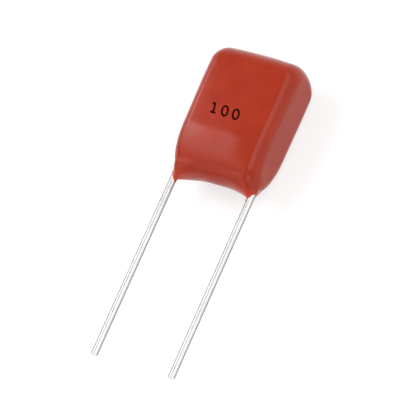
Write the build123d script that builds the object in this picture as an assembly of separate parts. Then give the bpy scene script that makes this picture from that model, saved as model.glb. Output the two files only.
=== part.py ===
"""Dipped metallised polyester film capacitor, radial leads, lying on its broad back.

Frame: +X runs from the left lead to the right one, -Y is the way the leads leave the body, and +Z is the marked
front face. While a piece is modelled, y = 0 is where the coating ends on the leads and z = 0 is the middle
of the body. place() then puts the whole part with its bounding box centred on the origin and its back at z = 0.
"""

import os
from math import cos, pi

from build123d import *

# Leads: tinned wire, straight, welded to the sprayed ends of the winding
lead_pitch = 7.5
lead_diameter = 0.6
lead_length = 16.85  # bare wire, from the end of the coating to the tip
lead_chamfer = 0.05
lead_round_run = 0.2  # how far the wire stays round under the coating
lead_pressing_run = 1.2  # the stretch over which it goes from round to pressed
lead_pressed_depth = 0.5  # its size along X where it is pressed to lie flat on the sprayed metal
lead_pressed_width = 0.68
lead_weld_run = 3.6  # how far it runs on past the lower end of the sprayed face's straight part
lead_sink = 0.05  # depth to which the weld sets it into the sprayed metal

# Winding: metallised film rolled on a mandrel along X, then pressed flat
winding_depth = 4.3
winding_height = 9.25
core_slit = 0.16  # gap left by the mandrel once the roll is pressed
wrap_thickness = 0.1  # turns of plain film over the metallised ones

# Winding ends: the two films are wound with staggered edges, and the sprayed metal keys into the steps
key_depth = 0.2
key_width = 0.22
key_pitch = 0.6
key_margin = 0.25
spray_thickness = 0.35
spray_edge = 0.12  # bevel of the sprayed metal's rim
weld_radius = 0.75
weld_height = 0.3  # how far the weld stands up round the wire
weld_sink = 0.15  # how deep it melts into the sprayed metal
weld_edge = 0.18  # bevel of its raised rim

# Coating: epoxy powder, fluidised and cured over the winding and the start of the leads
coat_face = 0.45  # over the broad faces
coat_end = 0.3  # over the leads at the narrow sides
coat_top = 0.6
coat_foot = 1.9  # between the winding and the body's lowest line
dome_rise = 0.75  # from the centre of the winding's upper bend to where the dome begins
taper_rise = -0.3  # from the centre of its lower bend to where the taper begins
edge_round = 1.4  # the rounding between the broad faces and the narrow sides

# Boots: the coating drawn down each lead, flaring inwards to join the body's lower edge
boot_run = 0.7  # from the body's lowest line to the end of the coating on the inner side of the lead
boot_slant_rise = 0.6  # how much sooner the coating ends on the outer side of the lead
boot_feather = 0.05  # its thickness where it ends on the wire
boot_root_rise = 1.7  # height of the flare's root, buried in the body
boot_lip = 0.2  # how far the flare starts below y = 0, to be cut off along the slant
boot_root_width = 2.8
boot_root_depth = 2.2
boot_inset = 0.1  # between the root of a boot and the narrow side of the body
boot_sections = 5

# Derived sizes
lead_radius = lead_diameter / 2
lead_x = lead_pitch / 2
spray_face_x = lead_x - lead_pressed_depth / 2 + lead_sink
film_half_width = spray_face_x - spray_thickness
roll_radius = winding_depth / 2
wrapped_radius = roll_radius + wrap_thickness
wrapped_height = winding_height + 2 * wrap_thickness
body_half_width = lead_x + lead_radius + coat_end
body_half_depth = wrapped_radius + coat_face
foot_level = boot_run
winding_bottom = foot_level + coat_foot
winding_level = winding_bottom + wrapped_height / 2
lower_bend = winding_bottom + wrapped_radius
upper_bend = winding_bottom + wrapped_height - wrapped_radius
body_top = winding_bottom + wrapped_height + coat_top
dome_start = upper_bend + dome_rise
taper_start = lower_bend + taper_rise
dome_height = body_top - dome_start
taper_height = taper_start - foot_level
sharpest_bend = min(dome_height**2 / body_half_depth, body_half_depth**2 / taper_height)
weld_level = lower_bend + lead_weld_run / 2
lead_end = lower_bend + lead_weld_run


def end_plane(x, y=winding_level):
    """The plane that looks along +X, with its own x axis up the body."""
    return Plane(origin=(x, y, 0), x_dir=(0, 1, 0), z_dir=(1, 0, 0))


def roll_outline(inset, x):
    """The flattened outline of the roll, moved inwards by inset from the metallised film's outer turn."""
    return end_plane(x) * SlotOverall(winding_height - 2 * inset, winding_depth - 2 * inset)


def roll_block(inset, half_width):
    """A solid with the roll's outline, from one end to the other."""
    return extrude(roll_outline(inset, -half_width), amount=2 * half_width)


def key_insets():
    """How far in from the outer turn each groove between the staggered film edges begins."""
    room = roll_radius - core_slit - key_margin - key_width
    return [key_margin + n * key_pitch for n in range(int(room / key_pitch) + 1)]


def key_rings():
    """The rings of sprayed metal that reach in between the film edges at the right-hand end."""
    start = film_half_width - key_depth
    rings = []
    for inset in key_insets():
        ring = roll_outline(inset, start) - roll_outline(inset + key_width, start)
        rings.append(extrude(ring, amount=key_depth))
    return Part() + rings


def both_ends(shape):
    """The shape at the right-hand end together with its mirror image at the left-hand end."""
    return shape + mirror(shape, about=Plane.YZ)


def film_winding():
    slit = roll_block(roll_radius - core_slit / 2, film_half_width)
    return roll_block(0, film_half_width) - slit - both_ends(key_rings())


def outer_wrap():
    return roll_block(-wrap_thickness, film_half_width) - roll_block(0, film_half_width)


def spray_slab():
    """The sprayed metal that stands out from the film, with its rim bevelled."""
    slab = extrude(roll_outline(-wrap_thickness, film_half_width), amount=spray_thickness)
    rim = slab.faces().sort_by(Axis.X)[-1].edges()
    return chamfer(rim, min(spray_edge, 0.9 * spray_thickness))


def across_lead(level):
    """The plane square to the right-hand wire at a level, looking up the body."""
    return Plane(origin=(lead_x, level, 0), x_dir=(1, 0, 0), z_dir=(0, 1, 0))


def lead():
    """The right-hand wire: round from its cut tip to the coating, then pressed flat up the sprayed face."""
    round_wire = extrude(across_lead(-lead_length) * Circle(lead_radius), amount=lead_length + lead_round_run)
    tip = round_wire.edges().sort_by(Axis.Y)[0]
    pressed_level = lead_round_run + lead_pressing_run
    pressed = SlotOverall(lead_pressed_width, lead_pressed_depth, rotation=90)
    run_in = loft([across_lead(lead_round_run) * Circle(lead_radius), across_lead(pressed_level) * pressed])
    pressed_wire = extrude(across_lead(pressed_level) * pressed, amount=lead_end - pressed_level)
    return chamfer(tip, min(lead_chamfer, lead_radius / 3)) + run_in + pressed_wire


def weld_pad():
    """The metal that the weld melts and raises round the wire, before the wire's own room is taken out."""
    pad_plane = end_plane(spray_face_x - weld_sink, weld_level)
    pad = extrude(pad_plane * Circle(weld_radius), amount=weld_sink + weld_height)
    rim = pad.faces().sort_by(Axis.X)[-1].edges()
    return chamfer(rim, min(weld_edge, 0.9 * weld_height))


def weld():
    return weld_pad() - lead()


def end_spray():
    return spray_slab() + key_rings() - lead() - weld_pad()


def side_profile():
    """The body seen from its narrow side: a low dome, flat faces, and a long taper towards the leads."""
    dome_plane = end_plane(-body_half_width, dome_start)
    taper_plane = end_plane(-body_half_width, taper_start)
    outline = [
        dome_plane * EllipticalCenterArc((0, 0), dome_height, body_half_depth, -90, arc_size=180),
        taper_plane * EllipticalCenterArc((0, 0), taper_height, body_half_depth, 90, arc_size=180),
    ]
    for side in (-body_half_depth, body_half_depth):
        face_ends = [plane.from_local_coords((0, side)) for plane in (dome_plane, taper_plane)]
        outline.append(Line(*face_ends))
    return make_face(outline)


def body_form():
    """The coated body without its boots: the side profile run across the width, its ends rolled over."""
    block = extrude(side_profile(), amount=2 * body_half_width, dir=(1, 0, 0))
    narrow_sides = block.faces().sort_by(Axis.X)
    rims = narrow_sides[0].edges() + narrow_sides[-1].edges()
    return fillet(rims, min(edge_round, 0.9 * sharpest_bend))


def flare(start, end, share):
    """A size that leaves start slowly, as the coating creeps up the wire, and settles slowly at end."""
    return start + (end - start) * (1 - cos(pi * share)) / 2


def boot_section(share):
    """The outline of the right-hand boot at a share of its height."""
    end_radius = lead_radius + boot_feather
    outer_side = flare(lead_x + end_radius, body_half_width - boot_inset, share)
    half_width = flare(end_radius, boot_root_width / 2, share)
    half_depth = flare(end_radius, boot_root_depth / 2, share)
    off_wire = outer_side - half_width - lead_x
    level = share * (boot_root_rise + boot_lip) - boot_lip
    return across_lead(level) * Pos(off_wire, 0) * Ellipse(half_width, half_depth)


def boot():
    """The coating drawn down the right-hand lead, cut to the slanting line at which it ends on the wire."""
    flared = loft([boot_section(n / (boot_sections - 1)) for n in range(boot_sections)])
    slant = Plane(origin=(lead_x - lead_radius, 0, 0), z_dir=(-boot_slant_rise, lead_diameter, 0))
    return split(flared, bisect_by=slant, keep=Keep.TOP)


def epoxy_coating():
    """The coating alone: the dipped form with the space that the winding, contacts and leads fill taken out."""
    coating = body_form() + both_ends(boot()) - roll_block(-wrap_thickness, film_half_width)
    for piece in (spray_slab(), weld_pad(), lead()):
        coating -= both_ends(piece)
    return coating


def place(shape):
    """Moves a piece from the modelling position to where the part lies on its back."""
    return Pos(0, (lead_length - body_top) / 2, body_half_depth) * shape


def pieces():
    right = {"lead": lead(), "end_spray": end_spray(), "weld": weld()}
    found = {
        "epoxy_coating": epoxy_coating(),
        "film_winding": film_winding(),
        "outer_wrap": outer_wrap(),
    }
    for name, shape in right.items():
        found[name + "_right"] = shape
        found[name + "_left"] = mirror(shape, about=Plane.YZ)
    return found


os.makedirs("parts", exist_ok=True)
for node, solid in pieces().items():
    export_step(place(solid), f"parts/{node}.step")
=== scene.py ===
"""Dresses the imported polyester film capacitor: its dipped coating, bright wires, inner pieces and studio.

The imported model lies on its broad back: +X runs from the left wire to the right one, -Y is the way the wires
leave the body and +Z is the marked front. Shapes here are worked out in millimetres in the coating's own
frame, where y = 0 is the end of the coating on the wires and z = 0 is the middle of the body, and are put in
place in metres.
"""

import logging
import math
from collections.abc import Callable
from dataclasses import dataclass, field
from enum import Enum

import bpy
import numpy as np
from bpy.types import Material, Node, NodeSocket, NodeTree, Object, bpy_prop_collection
from mathutils import Matrix, Vector


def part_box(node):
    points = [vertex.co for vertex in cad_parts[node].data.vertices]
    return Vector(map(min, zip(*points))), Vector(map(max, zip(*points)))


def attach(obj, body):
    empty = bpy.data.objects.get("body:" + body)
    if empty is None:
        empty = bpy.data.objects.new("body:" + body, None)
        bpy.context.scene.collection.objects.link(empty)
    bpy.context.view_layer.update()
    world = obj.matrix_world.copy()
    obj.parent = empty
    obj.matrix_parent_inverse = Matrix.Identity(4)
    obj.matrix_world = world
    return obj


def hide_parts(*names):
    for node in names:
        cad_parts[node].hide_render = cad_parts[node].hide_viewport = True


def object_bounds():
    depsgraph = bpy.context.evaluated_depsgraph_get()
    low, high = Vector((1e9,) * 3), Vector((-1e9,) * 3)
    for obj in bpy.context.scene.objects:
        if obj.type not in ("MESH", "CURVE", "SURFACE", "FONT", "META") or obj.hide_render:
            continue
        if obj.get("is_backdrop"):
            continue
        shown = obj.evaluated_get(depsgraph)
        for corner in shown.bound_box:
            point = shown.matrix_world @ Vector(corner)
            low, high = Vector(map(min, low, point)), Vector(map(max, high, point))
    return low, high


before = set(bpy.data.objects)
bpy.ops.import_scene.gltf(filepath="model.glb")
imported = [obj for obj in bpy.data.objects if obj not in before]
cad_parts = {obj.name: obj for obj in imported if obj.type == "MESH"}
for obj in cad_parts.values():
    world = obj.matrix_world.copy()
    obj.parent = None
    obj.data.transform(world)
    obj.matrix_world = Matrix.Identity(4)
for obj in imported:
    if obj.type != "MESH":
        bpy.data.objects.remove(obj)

Array = np.ndarray
Pair = tuple[float, float]
Triple = tuple[float, float, float]
Colour = tuple[float, float, float, float]
Faces = list[Array]  # groups of faces, each an array with a row per face
Input = NodeSocket | float | tuple  # what can go into a node's socket
Patterns = bpy_prop_collection | dict  # a node group's outputs, by name
Looks = tuple[NodeSocket, NodeSocket, NodeSocket]

LOG = logging.getLogger("film_capacitor")
MM = 0.001
ROOT = "root"
COAT_LENGTH = 12.65  # from where the coating ends on the wires to the top of the body
PRESSED_DEPTH = 0.5  # of the wires where they lie flat on the sprayed ends
CUT_DEPTH = 0.09  # how far up from the tips the wires are freshly cut metal
TINY = 1e-6  # keeps what is divided by from being nothing
FAR = 9.0  # stands for the distance to a boot where none is near
HALVINGS = 26  # how often a gap is halved to find a surface in it
NOISE_RANGE = (0.3, 0.7)  # the values between which most of a noise lies


class End(Enum):
    """The two ends of the body, each with its own wire."""

    LEFT = -1
    RIGHT = 1


class Slot(Enum):
    """The record's material slots."""

    EPOXY = "red_epoxy"
    FILM = "metallised_film"
    WRAP = "plain_film"
    SPRAY = "sprayed_zinc"
    WELD = "weld_metal"
    WIRE = "tinned_wire"


# ---- mesh making


@dataclass(frozen=True)
class Placement:
    """Where the coating's own frame lies in the row frame, in millimetres."""

    y: float
    z: float

    def metres(self, points: Array) -> Array:
        """Turns points of the coating's frame, in millimetres, into row points in metres."""
        return (points + np.array([0.0, self.y, self.z])) * MM


def closed_tube(rings: Array) -> tuple[Array, Faces]:
    """A tube of rings whose ends are closed by a pole at the middle of the first and of the last ring.

    Point t of ring r is vertex r * around + t, and the poles are the last two vertices. The sum of the
    products of each triangle's corners is six times the volume, and below zero where faces point inwards.

    Args:
        rings: array of shape (rings, around, 3).

    Returns:
        The points and the faces, which point outwards: quads, then the triangles that close each end.
    """
    count, around = rings.shape[:2]
    points = np.vstack([rings.reshape(-1, 3), rings[0].mean(0), rings[-1].mean(0)])
    turn = np.arange(around)
    after = (turn + 1) % around
    ring = np.arange(count - 1)[:, None] * around
    following = ring + around
    quads = np.stack([ring + turn, ring + after, following + after, following + turn], -1).reshape(-1, 4)
    pole = np.full(around, count * around)
    last = (count - 1) * around
    start = np.stack([pole, after, turn], -1)
    end = np.stack([pole + 1, last + turn, last + after], -1)
    a, b, c = points[np.vstack([quads[:, :3], quads[:, [0, 2, 3]], start, end])].transpose(1, 0, 2)
    if np.einsum("ij,ij->", a, np.cross(b, c)) < 0:
        return points, [quads[:, ::-1], start[:, ::-1], end[:, ::-1]]
    return points, [quads, start, end]


def new_object(name: str, points: Array, faces: Faces, material: Material) -> Object:
    """Makes an object that sits at the origin, unturned.

    Args:
        name: the name of the object and of its mesh.
        points: its points in metres, in the row frame.
        faces: its faces.
        material: its only material.

    Returns:
        The object, linked to the scene.
    """
    mesh = bpy.data.meshes.new(name)
    mesh.from_pydata(points.tolist(), [], [face for group in faces for face in group.tolist()])
    mesh.materials.append(material)
    made = bpy.data.objects.new(name, mesh)
    bpy.context.scene.collection.objects.link(made)
    return made


def ride_smooth(piece: Object) -> Object:
    """Shades a new piece smooth and lets it ride on the part's body.

    Args:
        piece: the piece.

    Returns:
        The piece.
    """
    mesh = piece.data
    mesh.polygons.foreach_set("use_smooth", np.ones(len(mesh.polygons), bool))
    mesh.update()
    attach(piece, ROOT)
    return piece


def dress(node: str, material: Material) -> Object:
    """Gives a CAD node its finish.

    Args:
        node: the node's name.
        material: its finish.

    Returns:
        The node's object.
    """
    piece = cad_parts[node]
    piece.data.materials.clear()
    piece.data.materials.append(material)
    return piece


# ---- formulas


def smooth_least(a: Array, b: Array, reach: Array) -> Array:
    """The smaller of two distances, less the squared overlap over 4 reach where they are within reach."""
    overlap = np.maximum(reach - np.abs(a - b), 0)
    return np.minimum(a, b) - overlap**2 / (4 * reach)


def ramp(value: Array, start: float, end: float) -> Array:
    """0 before start, 1 after end and an S-shaped rise in between: 3t^2 - 2t^3."""
    t = np.clip((value - start) / (end - start), 0, 1)
    return t * t * (3 - 2 * t)


def bell(distance: Array, width: float) -> Array:
    """1 where the distance is 0 and falling to either side: e to the power of -(distance / width)^2."""
    return np.exp(-((distance / width) ** 2))


def once_round(count: int) -> Array:
    """Evenly spaced angles of one full turn, in radians."""
    return np.linspace(0, 2 * np.pi, count, endpoint=False)


def zero_between(function: Callable[[Array], Array], low: Array, high: Array) -> Array:
    """Where a function goes from below zero to above it, by halving the gap again and again.

    Args:
        function: a function of one array.
        low: values at which it is below zero.
        high: values at which it is above zero.

    Returns:
        The values at which it is zero.
    """
    for _ in range(HALVINGS):
        centre = (low + high) / 2
        inside = function(centre) < 0
        low, high = np.where(inside, centre, low), np.where(inside, high, centre)
    return (low + high) / 2


# ---- the coating


@dataclass
class Coating:
    """The dipped epoxy: a block with a low dome, a long taper, rolled narrow sides and a boot down each wire.

    Its surface is where form() is zero. It is cut into loops by half planes that all follow a U-shaped way:
    up from the end of the left boot, across the body and down to the end of the right boot. A pair of values
    that is called a rise, fall, bend or fade is a stretch over which something comes in or goes out.
    """

    half_width: float
    half_depth: float
    top: float
    lead_x: float
    wire_radius: float
    margin: float = 0.008  # kept free inside the CAD model's box
    foot: float = 0.5803
    foot_arch: float = 0.03
    dome_height: float = 1.847
    taper_start: float = 4.55
    top_slope: float = 0.058
    top_crown: float = 0.169
    lean: float = math.radians(-0.18)
    narrowing: float = 0.0165

    edge_x: float = 1.034
    edge_x_top: float = 1.412
    edge_rise: Pair = (4.5, 1.0)  # from edge_x to edge_x_top, measured down from the top
    edge_z: float = 1.176
    edge_start: float = 0.1  # past which the rolled edge's own formula holds

    face_crown: float = 0.282
    crown_upright: float = 0.2  # share of the crown that goes with the height instead of the width
    crown_back: float = 0.2  # share of the crown that the back has
    crease_level: float = 0.66
    crease_drop: float = 0.75
    crease_depth: float = 0.040
    crease_width: float = 0.10
    crease_fade: Pair = (2.3, 3.1)
    fold_level: float = 0.80
    fold_climb: float = 0.25
    fold_depth: float = 0.004
    fold_width: float = 0.07
    fold_fade: Pair = (2.4, 3.3)
    crease_bend: Pair = (1.2, 3.0)
    dent_x: float = -0.95
    dent_y: float = 4.2
    dent_turns: Pair = (1.75, 0.9)  # radians per millimetre across the face and up it
    dent_shift: float = 0.5
    dent_reach: float = 1.4
    dent_size: float = 0.011
    wave: float = 0.012
    wave_turns: tuple[Triple, ...] = ((1.1, 0.7, 0.0), (-1.4, 0.9, 0.8))  # radians per millimetre
    wave_starts: tuple[float, ...] = (1.3, 2.1)
    wave_rise: Pair = (0.5, 3.0)

    boot_wall: float = 0.035
    boot_rise: float = 2.0
    boot_past: float = 0.3  # how far above its root a boot is still reckoned with
    boot_half_x: float = 1.88
    boot_half_z: float = 0.965
    boot_side: float = 4.067
    boot_fillet: float = 1.7
    fillet_least: float = 0.04
    fillet_fade: Pair = (-0.3, 0.45)  # outwards from the wire's middle
    fillet_rise: Pair = (-0.5, 0.6)
    fillet_fall: Pair = (0.9, 2.2)
    end_steps: tuple[float, ...] = (0.3, 0.6, 0.85, 1.0)
    end_sunk: float = 0.02
    end_drop: float = 0.035
    thin_fade: Pair = (0.05, 0.95)  # where the coat on the wires stops being thin

    pivot_x: float = 2.9
    pivot_y: float = -0.955
    end_angle: float = math.radians(37.3)
    turn_below: float = 0.5  # how far below the top the half planes begin to turn the corner
    loops_side: int = 90
    loops_corner: int = 26
    loops_middle: int = 110
    around: int = 184
    search_reach: float = 14.5
    search_steps: int = 1200
    search_depth: float = 4.0
    search_scale: Pair = (0.05, 2.0)

    def body(self, x: Array, y: Array, z: Array) -> Array:
        """Distance to the dipped block without its boots.

        The side profile is an ellipse at the dome, another at the taper and flat in between, and the narrow
        sides meet it with a quarter ellipse: h = |(u, w)| of the overshoots past the start of that corner, in
        shares of its half axes, so that h (h - 1) / |(u / edge_z, w / edge_x)| is about the distance.

        Args:
            x, y, z: positions in the coating's frame.

        Returns:
            The distances, below zero inside.
        """
        middle = (self.top + self.foot) / 2
        across = x - (y - middle) * math.tan(self.lean)
        share = across / self.half_width
        top = self.top - self.margin - self.top_slope * (1 + share) - self.top_crown * share**2
        foot = self.foot + self.foot_arch * share**2
        taper_height = self.taper_start - foot
        dome = np.maximum(y - (top - self.dome_height), 0) / self.dome_height
        taper = np.maximum(self.taper_start - y, 0) / taper_height
        upright = self.crown_upright * ((y - middle) / middle) ** 2
        crown = self.face_crown * ((1 - self.crown_upright) * share**4 + upright)
        relief = np.where(z > 0, crown + self.dents(x, y), self.crown_back * crown) + self.crease(x, y)
        half_depth = self.half_depth - self.margin - relief
        height = np.where(dome > 0, self.dome_height, taper_height)
        ratio = np.sqrt((dome + taper) ** 2 + (z / half_depth) ** 2 + (TINY * half_depth) ** 2)
        steepness = np.sqrt(((dome + taper) / height) ** 2 + (z / half_depth**2) ** 2 + TINY**2)
        profile = ratio * (ratio - 1) / steepness
        side = np.abs(across) - (self.half_width - self.margin - self.narrowing * np.maximum(self.top - y, 0))
        to_top = ramp(y, *(self.top - below for below in self.edge_rise))
        edge_x = self.edge_x + (self.edge_x_top - self.edge_x) * to_top
        past_profile = np.maximum(profile / self.edge_z + 1, 0)
        past_side = np.maximum(side / edge_x + 1, 0)
        corner = np.hypot(past_profile, past_side)
        edge = corner * (corner - 1) / (np.hypot(past_profile / self.edge_z, past_side / edge_x) + TINY)
        return np.where(corner > self.edge_start, edge, np.maximum(profile, side))

    def crease(self, x: Array, y: Array) -> Array:
        """Depth of the crease and of the fold just above the lower edge, each a bell across its line.

        The crease drops towards the boots and the fold climbs a little towards the narrow sides.

        Args:
            x, y: positions in the coating's frame.

        Returns:
            The depths.
        """
        off = np.abs(x)
        bend = ramp(off, *self.crease_bend)
        crease_line = self.foot + self.crease_level - self.crease_drop * bend
        fold_line = self.foot + self.fold_level + self.fold_climb * bend
        crease = (1 - ramp(off, *self.crease_fade)) * bell(y - crease_line, self.crease_width)
        fold = (1 - ramp(off, *self.fold_fade)) * bell(y - fold_line, self.fold_width)
        return self.crease_depth * crease + self.fold_depth * fold

    def dents(self, x: Array, y: Array) -> Array:
        """Depth of the shallow dents where the face bends into the taper.

        A cosine across the face times a sine up it, plus dent_shift, faded by a bell over the height.

        Args:
            x, y: positions in the coating's frame.

        Returns:
            The depths, below zero where the face stands out.
        """
        up = y - self.dent_y
        turn_x, turn_y = self.dent_turns
        relief = np.cos(turn_x * (x - self.dent_x)) * np.sin(turn_y * up) + self.dent_shift
        return self.dent_size * relief * bell(up, self.dent_reach)

    def boot(self, x: Array, y: Array, z: Array) -> Array:
        """Distance to the coat drawn down the nearer wire.

        Its outline at each height is an ellipse that widens inwards from the wire by a half cosine of the
        height.

        Args:
            x, y, z: positions in the coating's frame.

        Returns:
            The distances, below zero inside.
        """
        share = (1 - np.cos(np.pi * np.clip(y / self.boot_rise, 0, 1))) / 2
        end = self.wire_radius + self.boot_wall
        half_x = end + (self.boot_half_x - end) * share
        half_z = end + (self.boot_half_z - end) * share
        outer = self.lead_x + end + (self.boot_side - self.lead_x - end) * share
        off = np.abs(x) - (outer - half_x)
        ratio = np.sqrt((off / half_x) ** 2 + (z / half_z) ** 2) + TINY
        return ratio * (ratio - 1) / (np.sqrt((off / half_x**2) ** 2 + (z / half_z**2) ** 2) + TINY)

    def form(self, x: Array, y: Array, z: Array) -> Array:
        """Distance to the whole coating, with the slow waves of a cured dip.

        Body and boots meet in a fillet that fades outwards, up and down. The waves are the mean of sines
        along slanting directions, raised so that they only take away.

        Args:
            x, y, z: positions in the coating's frame.

        Returns:
            The distances, below zero inside.
        """
        boot = np.where(y < self.boot_rise + self.boot_past, self.boot(x, y, z), FAR)
        inner = 1 - ramp(np.abs(x) - self.lead_x, *self.fillet_fade)
        upright = ramp(y, *self.fillet_rise) * (1 - ramp(y, *self.fillet_fall))
        fillet = self.fillet_least + self.boot_fillet * inner * upright
        shape = smooth_least(self.body(x, y, z), boot, fillet)
        waves = zip(self.wave_turns, self.wave_starts)
        sines = [np.sin(a * x + b * y + c * z + start) for (a, b, c), start in waves]
        return shape + self.wave * (sum(sines) / len(sines) + 1) * ramp(y, *self.wave_rise)

    def half_planes(self) -> tuple[Array, Array]:
        """The half planes that cut the loops, from the left boot's end to the right one's.

        Returns:
            The foot point (x, y) of each, and its direction (x, y) away from that point.
        """
        reach = self.half_width - self.pivot_x
        end_level = self.pivot_y + reach / math.tan(self.end_angle)
        side_level = np.linspace(end_level, self.top - self.turn_below, self.loops_side)
        side = np.arctan2(reach, side_level - self.pivot_y)
        corner = np.linspace(side[-1], 0, self.loops_corner + 1)[1:]
        angle = np.concatenate([side, corner])
        middle = np.linspace(-self.pivot_x, self.pivot_x, self.loops_middle + 2)[1:-1]
        right = np.full(len(angle), self.pivot_x)
        x = np.concatenate([-right, middle, right])
        turn = np.concatenate([-angle, np.zeros(len(middle)), angle[::-1]])
        return np.stack([x, np.full(len(x), self.pivot_y)], -1), np.stack([np.sin(turn), np.cos(turn)], -1)

    def surface(self) -> Array:
        """The whole coating: a loop in each half plane, and at both ends rings that roll it in.

        A loop is seen from its centre: a ray per direction (cos t, sin t), scaled by the loop's half length
        and half depth, is followed to where form() is zero.

        Returns:
            All its rings as an array of shape (rings, around, 3).
        """
        foot, way = self.half_planes()

        def plan(along: Array) -> tuple[Array, Array]:
            """The positions x and y that lie this far along the half planes."""
            return foot[:, :1] + way[:, :1] * along, foot[:, 1:] + way[:, 1:] * along

        reach = np.linspace(0, self.search_reach, self.search_steps)
        x, y = plan(reach)
        inside = self.form(x, y, np.zeros_like(x)) < 0
        first = reach[inside.argmax(1)]
        last = reach[len(reach) - 1 - inside[:, ::-1].argmax(1)]
        middle, half = (first + last)[:, None] / 2, (last - first)[:, None] / 2
        turn = once_round(self.around)
        ray_along, ray_across = half * np.cos(turn), self.front(*plan(middle)) * np.sin(turn)
        scale = zero_between(
            lambda s: self.form(*plan(middle + ray_along * s), ray_across * s),
            *(np.full(ray_along.shape, limit) for limit in self.search_scale),
        )
        loops = np.stack([*plan(middle + ray_along * scale), ray_across * scale], -1)
        start, end = self.end_rings(loops[0], End.LEFT)[::-1], self.end_rings(loops[-1], End.RIGHT)
        return np.concatenate([start, loops, end])

    def end_rings(self, loop: Array, end: End) -> Array:
        """Rings that roll the end of a boot in onto its wire and on into it.

        Each is the loop drawn in towards the wire by a quarter-circle law, and a little down it.

        Args:
            loop: the last loop of the boot.
            end: the end whose boot it is.

        Returns:
            The rings, the innermost last.
        """
        axis_x = end.value * self.lead_x
        off = loop[:, [0, 2]] - np.array([axis_x, 0.0])
        radius = np.linalg.norm(off, axis=1)
        across, deep = (off / radius[:, None]).T
        inner = self.wire_radius - self.end_sunk
        angle = np.array(self.end_steps)[:, None] * (math.pi / 2)
        wall = radius + (inner - radius) * (1 - np.cos(angle))
        level = loop[:, 1] - self.end_drop * np.sin(angle)
        return np.stack([axis_x + across * wall, level, deep * wall], -1)

    def front(self, x: Array, y: Array) -> Array:
        """Height of the front face above the middle plane at points (x, y)."""
        deep = np.full_like(x, self.search_depth)
        return zero_between(lambda z: self.form(x, y, z), np.zeros_like(x), deep)

    def build(self, place: Placement, material: Material) -> list[Object]:
        """Makes the coating, which stands for its CAD node, and dresses both.

        Args:
            place: where the coating's frame lies.
            material: the finish, which reads from thin_coat how thin the coat is.

        Returns:
            The new piece and the node.
        """
        points, faces = closed_tube(self.surface())
        piece = ride_smooth(new_object("coating_shell", place.metres(points), faces, material))
        thin = (1 - ramp(points[:, 1], *self.thin_fade)).astype(np.float32)
        piece.data.attributes.new("thin_coat", "FLOAT", "POINT").data.foreach_set("value", thin)
        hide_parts("epoxy_coating")
        return [piece, dress("epoxy_coating", material)]


# ---- the wires


@dataclass
class Wire:
    """A tinned wire: round up to the coating, then pressed flat along the sprayed end."""

    end: End
    x: float
    radius: float
    tip: float
    inner_end: float
    pressed_depth: float
    pressed_width: float
    round_to: float = 0.2
    pressed_from: float = 1.4
    squareness: float = 1.6  # what pressing adds to the power of the round outline
    tip_round: float = 0.05
    shear: float = 0.03
    shear_run: float = 0.4
    rings_tip: int = 6
    rings_bare: int = 130
    rings_change: int = 24
    rings_inside: int = 20
    around: int = 40

    def surface(self) -> Array:
        """The wire's rings: superellipses whose half sizes and power go from round to pressed flat.

        They lie close together at the tip, where the radius falls as a quarter circle and the cut face is a
        little aslant, and where the wire changes shape.

        Returns:
            The rings as an array of shape (rings, around, 3).
        """
        tip = self.tip + self.tip_round * (1 - np.cos(np.linspace(0, np.pi / 2, self.rings_tip)))
        bare = np.linspace(self.tip + 2 * self.tip_round, self.round_to, self.rings_bare)
        change = np.linspace(self.round_to, self.pressed_from, self.rings_change)[1:]
        inside = np.linspace(self.pressed_from, self.inner_end, self.rings_inside)[1:]
        level = np.concatenate([tip, bare, change, inside])[:, None]
        turn = once_round(self.around)[None, :]
        pressed = ramp(level, self.round_to, self.pressed_from)
        half_x = self.radius + (self.pressed_depth / 2 - self.radius) * pressed
        half_z = self.radius + (self.pressed_width / 2 - self.radius) * pressed
        power = 2 / (2 + self.squareness * pressed)
        into = np.clip((level - self.tip) / self.tip_round, 0, 1)
        shrink = 1 - (self.tip_round / self.radius) * (1 - np.sqrt(1 - (1 - into) ** 2))
        cos, sin = np.cos(turn), np.sin(turn)
        x = half_x * shrink * np.sign(cos) * np.abs(cos) ** power
        z = half_z * shrink * np.sign(sin) * np.abs(sin) ** power
        slant = self.shear * (1 + sin) * np.clip(1 - (level - self.tip) / self.shear_run, 0, 1)
        return np.stack([self.end.value * self.x + x, level + slant, z + 0 * level], -1)

    def build(self, place: Placement, material: Material) -> list[Object]:
        """Makes the wire, which stands for its CAD node, and dresses both.

        Args:
            place: where the coating's frame lies.
            material: the wire's finish.

        Returns:
            The new piece and the node.
        """
        side = self.end.name.lower()
        points, faces = closed_tube(self.surface())
        piece = ride_smooth(new_object(f"wire_{side}", place.metres(points), faces, material))
        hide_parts(f"lead_{side}")
        return [piece, dress(f"lead_{side}", material)]


# ---- the marking


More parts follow.
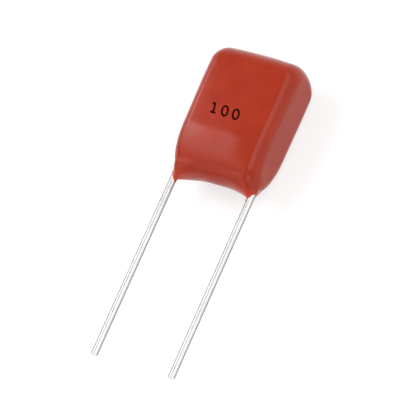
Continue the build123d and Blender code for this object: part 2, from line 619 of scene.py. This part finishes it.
@dataclass
class Marking:
    """The printed digits on the front face: thin strokes of ink that follow the coating's surface."""

    coating: Coating
    centre_x: float = -0.455
    centre_y: float = 6.10
    height: float = 0.87
    pitch: float = 1.08
    slant: float = -0.18
    row_slope: float = -0.04
    stroke: float = 0.094
    oval_width: float = 0.32
    ink: float = 0.006
    sunk: float = 0.02
    tip_share: float = 0.02  # of a stroke's squared width, left at its very end
    steps: int = 48
    around: int = 14

    def strokes(self) -> list[Array]:
        """Centre lines of the strokes of 1, 0 and 0.

        Returns:
            The lines as arrays of points, in shares of the digits' height about the middle of the row.
        """
        share = np.linspace(0, 1, self.steps)
        turn = 2 * np.pi * share

        def line(a: Pair, b: Pair) -> Array:
            """Evenly spaced points from a to b."""
            return np.array(a) + share[:, None] * (np.array(b) - np.array(a))

        top, foot, flag = (0.02, 0.52), (0.02, -0.5), (-0.27, 0.34)
        one = [line(top, foot), line(top, flag), line((-0.31, -0.5), (0.32, -0.5))]
        oval = np.stack([self.oval_width * np.sin(turn), 0.5 * np.cos(turn)], -1)
        across = np.array([self.pitch / self.height, 0.0])
        return [stroke - across for stroke in one] + [oval, oval + across]

    def ribbon(self, line: Array) -> Array:
        """One stroke: a flat oval carried along its line, its width falling as a circle at open ends.

        Args:
            line: the stroke's centre line, as strokes() gives it.

        Returns:
            The stroke's rings as an array of shape (steps, around, 3).
        """
        line = line * self.height
        line = np.stack([line[:, 0] + self.slant * line[:, 1], line[:, 1] + self.row_slope * line[:, 0]], -1)
        closed = np.allclose(line[0], line[-1])
        way = np.gradient(line, axis=0)
        if closed:
            way[0] = way[-1] = line[1] - line[-2]
        way /= np.linalg.norm(way, axis=1, keepdims=True)
        across = np.stack([-way[:, 1], way[:, 0]], -1)
        run = np.concatenate([[0], np.cumsum(np.linalg.norm(np.diff(line, axis=0), axis=1))])
        to_end = np.minimum(run, run[-1] - run)
        width = np.full(len(line), self.stroke)
        if not closed:
            left = np.clip(1 - to_end / self.stroke, 0, 1)
            width *= np.sqrt(np.clip(1 - left**2, self.tip_share, 1))
        turn = once_round(self.around)
        plan = line[:, None] + across[:, None] * (width[:, None] * np.cos(turn))[..., None]
        plan += np.array([self.centre_x, self.centre_y])
        rise = np.where(np.sin(turn) > 0, self.ink, self.sunk) * np.sin(turn)
        face = self.coating.front(plan[..., 0], plan[..., 1])
        return np.concatenate([plan, (face + rise)[..., None]], -1)

    def build(self, place: Placement, material: Material) -> list[Object]:
        """Makes all strokes as one piece.

        Args:
            place: where the coating's frame lies.
            material: the ink.

        Returns:
            The new piece.
        """
        points, faces, count = [], [], 0
        for line in self.strokes():
            stroke_points, stroke_faces = closed_tube(self.ribbon(line))
            faces += [group + count for group in stroke_faces]
            points.append(stroke_points)
            count += len(stroke_points)
        piece = new_object("printed_digits", place.metres(np.vstack(points)), faces, material)
        return [ride_smooth(piece)]


# ---- node graphs


@dataclass
class Graph:
    """A node tree with short ways to add nodes, set their sockets and join them."""

    tree: NodeTree

    def add(self, kind: str, links: dict[str | int, Input] | None = None, **settings: object) -> Node:
        """Adds a node.

        Args:
            kind: the node's type name without its ShaderNode prefix, or a full type name.
            links: what goes into its input sockets, by name or number: a value or an output socket.
            settings: the node's own settings.

        Returns:
            The node.
        """
        name = kind if kind.startswith("NodeGroup") else f"ShaderNode{kind}"
        node = self.tree.nodes.new(name)
        for key, value in settings.items():
            setattr(node, key, value)
        for key, value in (links or {}).items():
            if isinstance(value, NodeSocket):
                self.tree.links.new(value, node.inputs[key])
            else:
                node.inputs[key].default_value = value
        return node

    def use(self, group: NodeTree, links: dict[str, Input]) -> Patterns:
        """Adds a node group and returns its outputs."""
        return self.add("Group", links, node_tree=group).outputs

    def join(self, shader: Node, out: Node) -> None:
        """Links a shader to an output node."""
        self.tree.links.new(shader.outputs[0], out.inputs[0])

    def math(self, operation: str, *values: Input) -> NodeSocket:
        """A Math node's output, for values or sockets."""
        return self.add("Math", dict(enumerate(values)), operation=operation).outputs[0]

    def mix(self, share: Input, a: Input, b: Input) -> NodeSocket:
        """A colour between a and b."""
        return self.add("Mix", {0: share, 6: a, 7: b}, data_type="RGBA").outputs[2]

    def stretch(self, value: Input, start: float, end: float, low: float, high: float) -> NodeSocket:
        """A Map Range node's output: low where the value is start and high where it is end."""
        return self.add("MapRange", {0: value, 1: start, 2: end, 3: low, 4: high}).outputs[0]

    def mask(self, value: Input, start: float, end: float) -> NodeSocket:
        """A mask that goes from 0 where the value is start to 1 where it is end."""
        return self.stretch(value, start, end, 0.0, 1.0)

    def noise(self, vector: Input, scale: Input, detail: float = 3.0, roughness: float = 0.5) -> NodeSocket:
        """A noise texture's value."""
        links = {"Vector": vector, "Scale": scale, "Detail": detail, "Roughness": roughness}
        return self.add("TexNoise", links).outputs["Fac"]


def rgb(red: float, green: float, blue: float) -> Colour:
    """A linear colour for a colour socket."""
    return (red, green, blue, 1.0)


def grey(level: float) -> Colour:
    """A linear grey for a colour socket."""
    return rgb(level, level, level)


def new_group(name: str, inputs: dict[str, float], outputs: list[str]) -> Graph:
    """An empty shader node group with a Vector input and other named sockets.

    Args:
        name: the group's name.
        inputs: the values of its other input sockets, by name.
        outputs: the names of its output sockets.

    Returns:
        The group's graph.
    """
    tree = bpy.data.node_groups.new(name, "ShaderNodeTree")
    tree.interface.new_socket("Vector", in_out="INPUT", socket_type="NodeSocketVector")
    for label, value in inputs.items():
        socket = tree.interface.new_socket(label, in_out="INPUT", socket_type="NodeSocketFloat")
        socket.default_value = value
    for label in outputs:
        tree.interface.new_socket(label, in_out="OUTPUT", socket_type="NodeSocketFloat")
    return Graph(tree)


def relief_group() -> NodeTree:
    """Slow swell and fine grain of a surface: two noises at named scales, added as one height.

    Returns:
        The group, which also puts out a mottling mask and the grain alone.
    """
    scales = {"Swell Scale": 300.0, "Grain Scale": 3000.0, "Grain Share": 0.3}
    graph = new_group("surface_relief", scales, ["Height", "Mottle", "Grain"])
    source = graph.add("NodeGroupInput").outputs
    swell = graph.noise(source["Vector"], source["Swell Scale"], detail=2.0)
    grain = graph.noise(source["Vector"], source["Grain Scale"], detail=4.0, roughness=0.6)
    patches = graph.noise(source["Vector"], source["Swell Scale"], detail=5.0, roughness=0.65)
    height = graph.math("ADD", swell, graph.math("MULTIPLY", grain, source["Grain Share"]))
    mottle = graph.mask(patches, *NOISE_RANGE)
    graph.add("NodeGroupOutput", {"Height": height, "Mottle": mottle, "Grain": grain})
    return graph.tree


def streak_group() -> NodeTree:
    """Long fine lines along one axis: noise, in which the Vector that is given squeezes that axis.

    Returns:
        The group, which puts out the lines as a height and as a mask.
    """
    graph = new_group("drawn_streaks", {"Scale": 4000.0}, ["Height", "Mask"])
    source = graph.add("NodeGroupInput").outputs
    lines = graph.noise(source["Vector"], source["Scale"], detail=3.0, roughness=0.6)
    graph.add("NodeGroupOutput", {"Height": lines, "Mask": graph.mask(lines, 0.35, 0.65)})
    return graph.tree


def new_material(name: str) -> tuple[Graph, Material, Node]:
    """An empty node material.

    Args:
        name: the material's name.

    Returns:
        Its graph, the material and its output node.
    """
    material = bpy.data.materials.new(name)
    material.use_nodes = True
    material.node_tree.nodes.clear()
    graph = Graph(material.node_tree)
    return graph, material, graph.add("OutputMaterial")


def object_coordinates(graph: Graph, scale: Triple = (1, 1, 1)) -> NodeSocket:
    """Object coordinates, stretched by scale."""
    source = graph.add("TexCoord").outputs["Object"]
    return graph.add("Mapping", {"Vector": source, "Scale": scale}).outputs[0]


# ---- finishes


@dataclass(frozen=True)
class Relief:
    """How uneven a finish is.

    swell and grain are the scales of its slow and its fine noise, share is the grain's part in the height,
    and depth and strength are the bump's distance in metres and its strength.
    """

    swell: float
    grain: float
    share: float
    depth: float
    strength: float


@dataclass(frozen=True)
class Streaks:
    """Lines drawn into a finish: how Object coordinates are squeezed for them, and their scale."""

    squeeze: Triple
    scale: float


@dataclass
class Finishes:
    """The node groups that the finishes share, each built once."""

    relief: NodeTree = field(default_factory=relief_group)
    streaks: NodeTree = field(default_factory=streak_group)

    def add_relief(self, graph: Graph, relief: Relief) -> Patterns:
        """Adds the relief group on Object coordinates and returns its outputs."""
        scales = {"Swell Scale": relief.swell, "Grain Scale": relief.grain, "Grain Share": relief.share}
        return graph.use(self.relief, {"Vector": object_coordinates(graph), **scales})

    def add_streaks(self, graph: Graph, streaks: Streaks) -> Patterns:
        """Adds the streak group on squeezed Object coordinates and returns its outputs."""
        place = object_coordinates(graph, streaks.squeeze)
        return graph.use(self.streaks, {"Vector": place, "Scale": streaks.scale})


@dataclass(frozen=True, kw_only=True)
class Finish:
    """What every finish of the part has: two shades, a range of roughness, a relief and perhaps streaks."""

    name: str
    base: Colour
    shade: Colour
    roughness: Pair
    relief: Relief
    streaks: Streaks | None = None
    metallic: float = 0.0
    specular: float = 0.5

    def build(self, shared: Finishes) -> Material:
        """Makes the material, a Principled shader that takes what changes over the surface from looks().

        Args:
            shared: the node groups that it uses.

        Returns:
            The material.
        """
        graph, material, out = new_material(self.name)
        lines = shared.add_streaks(graph, self.streaks) if self.streaks else {}
        colour, mask, height = self.looks(graph, shared.add_relief(graph, self.relief), lines)
        bump = {"Strength": self.relief.strength, "Distance": self.relief.depth, "Height": height}
        links = {
            "Base Color": colour,
            "Metallic": self.metallic,
            "Roughness": graph.stretch(mask, 0, 1, *self.roughness),
            "Specular IOR Level": self.specular,
            "Normal": graph.add("Bump", bump).outputs[0],
        }
        graph.join(graph.add("BsdfPrincipled", links), out)
        return material

    def looks(self, graph: Graph, relief: Patterns, lines: Patterns) -> Looks:
        """What changes over the surface; here the shades and the gloss follow the mottling.

        Args:
            graph: the material's graph.
            relief: the relief group's outputs.
            lines: the streak group's outputs, where the finish has streaks.

        Returns:
            The colour, the mask that the roughness follows, and the height that the bump reads.
        """
        return graph.mix(relief["Mottle"], self.base, self.shade), relief["Mottle"], relief["Height"]


@dataclass(frozen=True, kw_only=True)
class EpoxyFinish(Finish):
    """Brick-red cured epoxy: semi-gloss, gently mottled, and brighter where the coat is thin on the wires."""

    name: str = "red_epoxy_coat"
    base: Colour = rgb(0.352, 0.0275, 0.0088)
    shade: Colour = rgb(0.405, 0.0345, 0.0120)
    thin: Colour = rgb(0.600, 0.055, 0.022)
    roughness: Pair = (0.14, 0.20)
    specular: float = 0.245
    relief: Relief = Relief(swell=520.0, grain=5200.0, share=0.12, depth=0.00001, strength=0.35)

    def looks(self, graph: Graph, relief: Patterns, lines: Patterns) -> Looks:
        """As in Finish, with the brighter shade where the attribute thin_coat says so."""
        colour, mask, height = super().looks(graph, relief, lines)
        thin = graph.add("Attribute", attribute_name="thin_coat").outputs["Fac"]
        return graph.mix(thin, colour, self.thin), mask, height


@dataclass(frozen=True, kw_only=True)
class WireFinish(Finish):
    """Bright tin, drawn lengthwise: streaks along Y in its gloss and relief, and a painted dark reflection
    where it turns away.

    Up to fresh_to, a height in metres just above the tips, it is freshly cut metal.
    """

    name: str = "bright_tin"
    fresh_to: float
    fresh_fade: float = 0.00003
    base: Colour = rgb(0.77, 0.77, 0.765)
    shade: Colour = rgb(0.66, 0.66, 0.655)
    # painted reflection: this dark colour stands in for dark surroundings mirrored where the wire turns away
    edge: Colour = rgb(0.24, 0.24, 0.235)
    fresh: Colour = rgb(0.82, 0.82, 0.815)
    painted_rim_turn: Pair = (0.12, 0.5)  # how far it turns away where the edge's colour comes in
    roughness: Pair = (0.41, 0.51)
    metallic: float = 1.0
    streaks: Streaks = Streaks(squeeze=(1.0, 0.02, 1.0), scale=9000.0)
    relief: Relief = Relief(swell=700.0, grain=6000.0, share=0.2, depth=0.000004, strength=0.3)

    def looks(self, graph: Graph, relief: Patterns, lines: Patterns) -> Looks:
        """As in Finish, from the streaks: dull in the mottled ones, a painted dark reflection at the edges,
        fresh at the cut.
        """
        colour = graph.mix(graph.math("MULTIPLY", relief["Mottle"], lines["Mask"]), self.base, self.shade)
        # painted reflection: the dark edge colour comes in where the surface faces away from the view
        turned = graph.add("LayerWeight", {"Blend": 0.5}).outputs["Facing"]
        colour = graph.mix(graph.mask(turned, *self.painted_rim_turn), colour, self.edge)
        along = graph.add("SeparateXYZ", {0: object_coordinates(graph)}).outputs["Y"]
        cut = graph.stretch(along, self.fresh_to - self.fresh_fade, self.fresh_to, 1.0, 0.0)
        return graph.mix(cut, colour, self.fresh), lines["Mask"], lines["Height"]


@dataclass(frozen=True, kw_only=True)
class InkFinish(Finish):
    """Black marking ink, matt and a little uneven."""

    name: str = "marking_ink"
    base: Colour = rgb(0.010, 0.0012, 0.001)
    shade: Colour = rgb(0.030, 0.0030, 0.002)
    roughness: Pair = (0.5, 0.7)
    specular: float = 0.02
    relief: Relief = Relief(swell=4000.0, grain=20000.0, share=0.3, depth=0.000004, strength=0.2)

    def looks(self, graph: Graph, relief: Patterns, lines: Patterns) -> Looks:
        """As in Finish, but the gloss follows the grain."""
        colour, _, height = super().looks(graph, relief, lines)
        return colour, graph.mask(relief["Grain"], *NOISE_RANGE), height


@dataclass(frozen=True, kw_only=True)
class FilmFinish(Finish):
    """Rolled film: faint lines round the roll where its turns are slit, slow wrinkles and a smooth gloss."""

    line_height: float = 0.3
    streaks: Streaks = Streaks(squeeze=(1.0, 0.01, 0.01), scale=5000.0)
    relief: Relief = Relief(swell=900.0, grain=8000.0, share=0.15, depth=0.00001, strength=0.4)

    def looks(self, graph: Graph, relief: Patterns, lines: Patterns) -> Looks:
        """As in Finish, but the second shade lies in the mottled lines, which also stand out."""
        colour = graph.mix(graph.math("MULTIPLY", lines["Mask"], relief["Mottle"]), self.base, self.shade)
        raised = graph.math("MULTIPLY", lines["Height"], self.line_height)
        return colour, relief["Mottle"], graph.math("ADD", relief["Height"], raised)


@dataclass(frozen=True, kw_only=True)
class MoltenMetalFinish(Finish):
    """Metal that was melted on: grains for a spray or ripples for a weld, with painted shade in their hollows.
    """

    # painted shade: the heights over which the darker colour of the hollows gives way to the base
    hollows: Pair = (0.4, 0.9)
    metallic: float = 0.9

    def looks(self, graph: Graph, relief: Patterns, lines: Patterns) -> Looks:
        """As in Finish, but the shades follow the height, the darker one painted into the hollows as shade,
        and the gloss follows the grain.
        """
        colour = graph.mix(graph.mask(relief["Height"], *self.hollows), self.shade, self.base)
        return colour, graph.mask(relief["Grain"], *NOISE_RANGE), relief["Height"]


# ---- the wound element


@dataclass
class WoundElement:
    """What the coating holds: the rolled films, the sprayed ends and the welds, shown as their CAD nodes."""

    film: FilmFinish = FilmFinish(
        name="metallised_turns", base=rgb(0.55, 0.56, 0.58), shade=rgb(0.42, 0.43, 0.45),
        metallic=0.85, roughness=(0.20, 0.33),
    )
    wrap: FilmFinish = FilmFinish(
        name="plain_turns", base=rgb(0.78, 0.78, 0.74), shade=rgb(0.66, 0.66, 0.60), roughness=(0.17, 0.30)
    )
    # the spray's and the weld's darker shade is painted shade in their hollows
    spray: MoltenMetalFinish = MoltenMetalFinish(
        name="sprayed_grains", base=grey(0.52), shade=rgb(0.30, 0.30, 0.31), roughness=(0.54, 0.70),
        relief=Relief(swell=2500.0, grain=14000.0, share=0.8, depth=0.00004, strength=0.8),
    )
    weld: MoltenMetalFinish = MoltenMetalFinish(
        name="weld_ripples", base=rgb(0.60, 0.60, 0.61), shade=rgb(0.40, 0.40, 0.41), roughness=(0.26, 0.42),
        relief=Relief(swell=1500.0, grain=5000.0, share=0.3, depth=0.00003, strength=0.8),
    )

    def build(self, shared: Finishes) -> list[Object]:
        """Dresses the nodes.

        Args:
            shared: the node groups that the finishes use.

        Returns:
            The nodes.
        """
        film = dress("film_winding", self.film.build(shared))
        wrap = dress("outer_wrap", self.wrap.build(shared))
        spray, weld = self.spray.build(shared), self.weld.build(shared)
        sides = [end.name.lower() for end in End]
        sprays = [dress(f"end_spray_{side}", spray) for side in sides]
        welds = [dress(f"weld_{side}", weld) for side in sides]
        return [film, wrap, *sprays, *welds]


# ---- studio


@dataclass(frozen=True)
class Panel:
    """A soft light: a flat panel whose glow fades towards its edges and from its near edge to its far one.

    Its middle is the point middle, and it reaches half of along and half of across to either side. Its glow
    at shares (s, t) from -1 to 1 is radiance * E(s) * E(t) * (far + (near - far) * ((t + 1) / 2) ** power),
    where E falls from 1 to 0 over the outer share that soft gives for it.
    """

    name: str
    middle: Triple
    along: Triple
    across: Triple
    radiance: float
    far: float = 1.0
    near: float = 1.0
    power: float = 1.0
    soft: Pair = (0.3, 0.3)

    def material(self) -> Material:
        """Makes the glow, which is added to what lies behind the panel.

        Returns:
            The material, which reads the panel's own UV.
        """
        graph, material, out = new_material(self.name)
        uv = graph.add("SeparateXYZ", {0: graph.add("UVMap", uv_map="panel").outputs[0]}).outputs
        glow = graph.stretch(graph.math("POWER", uv["Y"], self.power), 0, 1, self.far, self.near)
        for side, soft in zip(("X", "Y"), self.soft):
            off = graph.math("ABSOLUTE", graph.math("MULTIPLY_ADD", uv[side], 2.0, -1.0))
            fade = {0: off, 1: 1 - soft, 2: 1.0, 3: 1.0, 4: 0.0}
            edge = graph.add("MapRange", fade, interpolation_type="SMOOTHSTEP").outputs[0]
            glow = graph.math("MULTIPLY", glow, edge)
        strength = graph.math("MULTIPLY", glow, self.radiance)
        emission = graph.add("Emission", {"Color": grey(1), "Strength": strength}).outputs[0]
        clear = graph.add("BsdfTransparent").outputs[0]
        graph.join(graph.add("AddShader", {0: clear, 1: emission}), out)
        return material

    def build(self) -> None:
        """Makes the panel."""
        middle, along, across = (np.array(v) for v in (self.middle, self.along, self.across))
        signs = np.array([(-1, -1), (1, -1), (1, 1), (-1, 1)])
        corners = middle + signs[:, :1] * along / 2 + signs[:, 1:] * across / 2
        panel = new_object(self.name, corners, [np.arange(4)[None]], self.material())
        layer = panel.data.uv_layers.new(name="panel")
        layer.uv.foreach_set("vector", ((signs + 1) / 2).astype(np.float32).ravel())
        panel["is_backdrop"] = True


@dataclass
class Studio:
    """The pale floor, the soft lights and the camera, in metres."""

    yaw: float = math.radians(26.89)
    drop: float = -0.2801  # the Y share of the direction in which the camera lies
    roll: float = math.radians(24.113)
    distance: float = 0.3375
    view_width: float = 0.033621  # what the camera takes in at that distance
    aim_offset: Triple = (-0.0005848, 0.0009006, 0.0)
    sensor: float = 36.0
    clip: Pair = (0.01, 20.0)
    floor_radius: float = 3.0
    floor_sides: int = 64
    floor_gap: float = 0.00002
    floor_noise: float = 40.0
    floor_colours: tuple[Colour, Colour] = (grey(0.62), grey(0.66))
    floor_seen: Colour = grey(0.45)
    floor_glow: float = 0.62
    sky_height: Pair = (0.05, 0.72)  # the Z share of the direction looked in
    sky_glow: Pair = (0.9, 0.345)
    tips_side: Pair = (-0.9, 0.1)  # its Y share, which is below zero past the wires' tips
    tips_glow: Pair = (0.2, 1.0)
    panels: tuple[Panel, ...] = (
        Panel(
            "panel_left", middle=(-0.458, -0.069, 0.3), along=(0.675, -0.27, 0.0), across=(-0.03, 0.61, 0.0),
            radiance=5.3, far=0.1, near=1.2, power=2.1, soft=(0.12, 0.22),
        ),
        Panel(
            "panel_right", middle=(0.42, -0.06, 0.23), along=(0.0, 0.7, 0.0), across=(-0.3, 0.0, 0.44),
            radiance=0.78, far=0.2, near=1.3, soft=(0.45, 0.15),
        ),
        Panel(
            "panel_edge", middle=(0.30, 0.06, 0.3), along=(0.0, 0.7, 0.0), across=(-0.48, 0.0, 0.0),
            radiance=1.7, far=0.4, soft=(0.35, 0.35),
        ),
        Panel(
            "panel_fill", middle=(0.2, -0.4, 0.55), along=(0.4, 0.0, 0.0), across=(0.0, -0.25, -0.17),
            radiance=1.6, soft=(0.4, 0.4),
        ),
        Panel(
            "panel_low", middle=(-0.28, -0.55, 0.24), along=(0.60, -0.22, 0.0), across=(0.0, 0.0, 0.46),
            radiance=1.0, soft=(0.4, 0.8),
        ),
    )

    def camera(self, centre: Vector) -> None:
        """Makes the camera, which looks from the right, the wires' side and above.

        Args:
            centre: the middle of the part; the picture's middle lies at aim_offset from it.
        """
        side = math.sin(self.yaw)
        towards = Vector((side, self.drop, math.sqrt(1 - side**2 - self.drop**2)))
        level = Vector((0, 1, 0)).cross(towards).normalized()
        upright = towards.cross(level)
        cos, sin = math.cos(self.roll), math.sin(self.roll)
        right, up = cos * level + sin * upright, -sin * level + cos * upright
        data = bpy.data.cameras.new("camera")
        data.sensor_width = self.sensor
        data.lens = self.sensor * self.distance / self.view_width
        data.clip_start, data.clip_end = self.clip
        camera = bpy.data.objects.new("camera", data)
        matrix = Matrix((right, up, towards)).transposed().to_4x4()
        matrix.translation = centre + Vector(self.aim_offset) + towards * self.distance
        camera.matrix_world = matrix
        bpy.context.scene.collection.objects.link(camera)
        bpy.context.scene.camera = camera

    def floor(self) -> None:
        """Makes the pale floor, just under the part, which glows for camera, glossy and transmission rays."""
        graph, material, out = new_material("pale_floor")
        patches = graph.noise(object_coordinates(graph), self.floor_noise)
        colour = graph.mix(patches, *self.floor_colours)
        plain = graph.add("BsdfDiffuse", {"Color": colour}).outputs[0]
        pale = graph.add("BsdfDiffuse", {"Color": self.floor_seen}).outputs[0]
        glow = graph.add("Emission", {"Color": grey(1), "Strength": self.floor_glow}).outputs[0]
        bright = graph.add("AddShader", {0: pale, 1: glow}).outputs[0]
        path = graph.add("LightPath").outputs
        seen = graph.math("MAXIMUM", path["Is Camera Ray"], path["Is Glossy Ray"])
        seen = graph.math("MAXIMUM", seen, path["Is Transmission Ray"])
        graph.join(graph.add("MixShader", {0: seen, 1: plain, 2: bright}), out)
        turn = once_round(self.floor_sides)
        rim = np.stack([np.cos(turn), np.sin(turn), 0 * turn], -1) * self.floor_radius
        rim -= np.array([0.0, 0.0, self.floor_gap])
        floor = new_object("floor", rim, [np.arange(self.floor_sides)[None]], material)
        floor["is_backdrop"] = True

    def world(self) -> None:
        """Makes soft surroundings: bright round the horizon, dim overhead and past the wires' tips."""
        world = bpy.data.worlds.new("surroundings")
        bpy.context.scene.world = world
        world.use_nodes = True
        world.node_tree.nodes.clear()
        graph = Graph(world.node_tree)
        direction = graph.add("TexCoord").outputs["Generated"]
        direction = graph.add("SeparateXYZ", {0: direction}).outputs
        overhead = graph.stretch(direction["Z"], *self.sky_height, *self.sky_glow)
        past_tips = graph.stretch(direction["Y"], *self.tips_side, *self.tips_glow)
        strength = graph.math("MULTIPLY", overhead, past_tips)
        background = graph.add("Background", {"Color": grey(1), "Strength": strength})
        graph.join(background, graph.add("OutputWorld"))

    def build(self, centre: Vector) -> None:
        """Makes floor, surroundings, lights and camera.

        Args:
            centre: the middle of the part.
        """
        self.floor()
        self.world()
        for panel in self.panels:
            panel.build()
        self.camera(centre)
        bpy.context.scene.view_settings.view_transform = "Standard"


# ---- main


def main() -> None:
    """Builds every class in order and reports each piece."""
    logging.basicConfig(level=logging.INFO, format="%(name)s %(message)s")
    cad_low, cad_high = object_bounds()
    coat_low, coat_high = (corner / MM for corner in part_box("epoxy_coating"))
    wire_low, wire_high = (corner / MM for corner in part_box("lead_right"))
    place = Placement(y=coat_high.y - COAT_LENGTH, z=(coat_low.z + coat_high.z) / 2)
    lead_x = (wire_low.x + wire_high.x) / 2
    wire_radius = (wire_high.x - wire_low.x) / 2
    half_width, half_depth = (coat_high.x - coat_low.x) / 2, (coat_high.z - coat_low.z) / 2
    coating = Coating(half_width, half_depth, top=COAT_LENGTH, lead_x=lead_x, wire_radius=wire_radius)
    shared = Finishes()
    tin = WireFinish(fresh_to=(wire_low.y + CUT_DEPTH) * MM).build(shared)
    pieces = coating.build(place, EpoxyFinish().build(shared))
    pieces += WoundElement().build(shared)
    for end in End:
        wire = Wire(
            end=end, x=lead_x, radius=wire_radius, tip=wire_low.y - place.y, inner_end=wire_high.y - place.y,
            pressed_depth=PRESSED_DEPTH, pressed_width=wire_high.z - wire_low.z,
        )
        pieces += wire.build(place, tin)
    pieces += Marking(coating).build(place, InkFinish().build(shared))
    for piece in pieces:
        mesh = piece.data
        finish = mesh.materials[0].name
        LOG.info("%s: %d points, %d faces, %s", piece.name, len(mesh.vertices), len(mesh.polygons), finish)
    Studio().build((cad_low + cad_high) / 2)


if __name__ == "__main__":
    main()
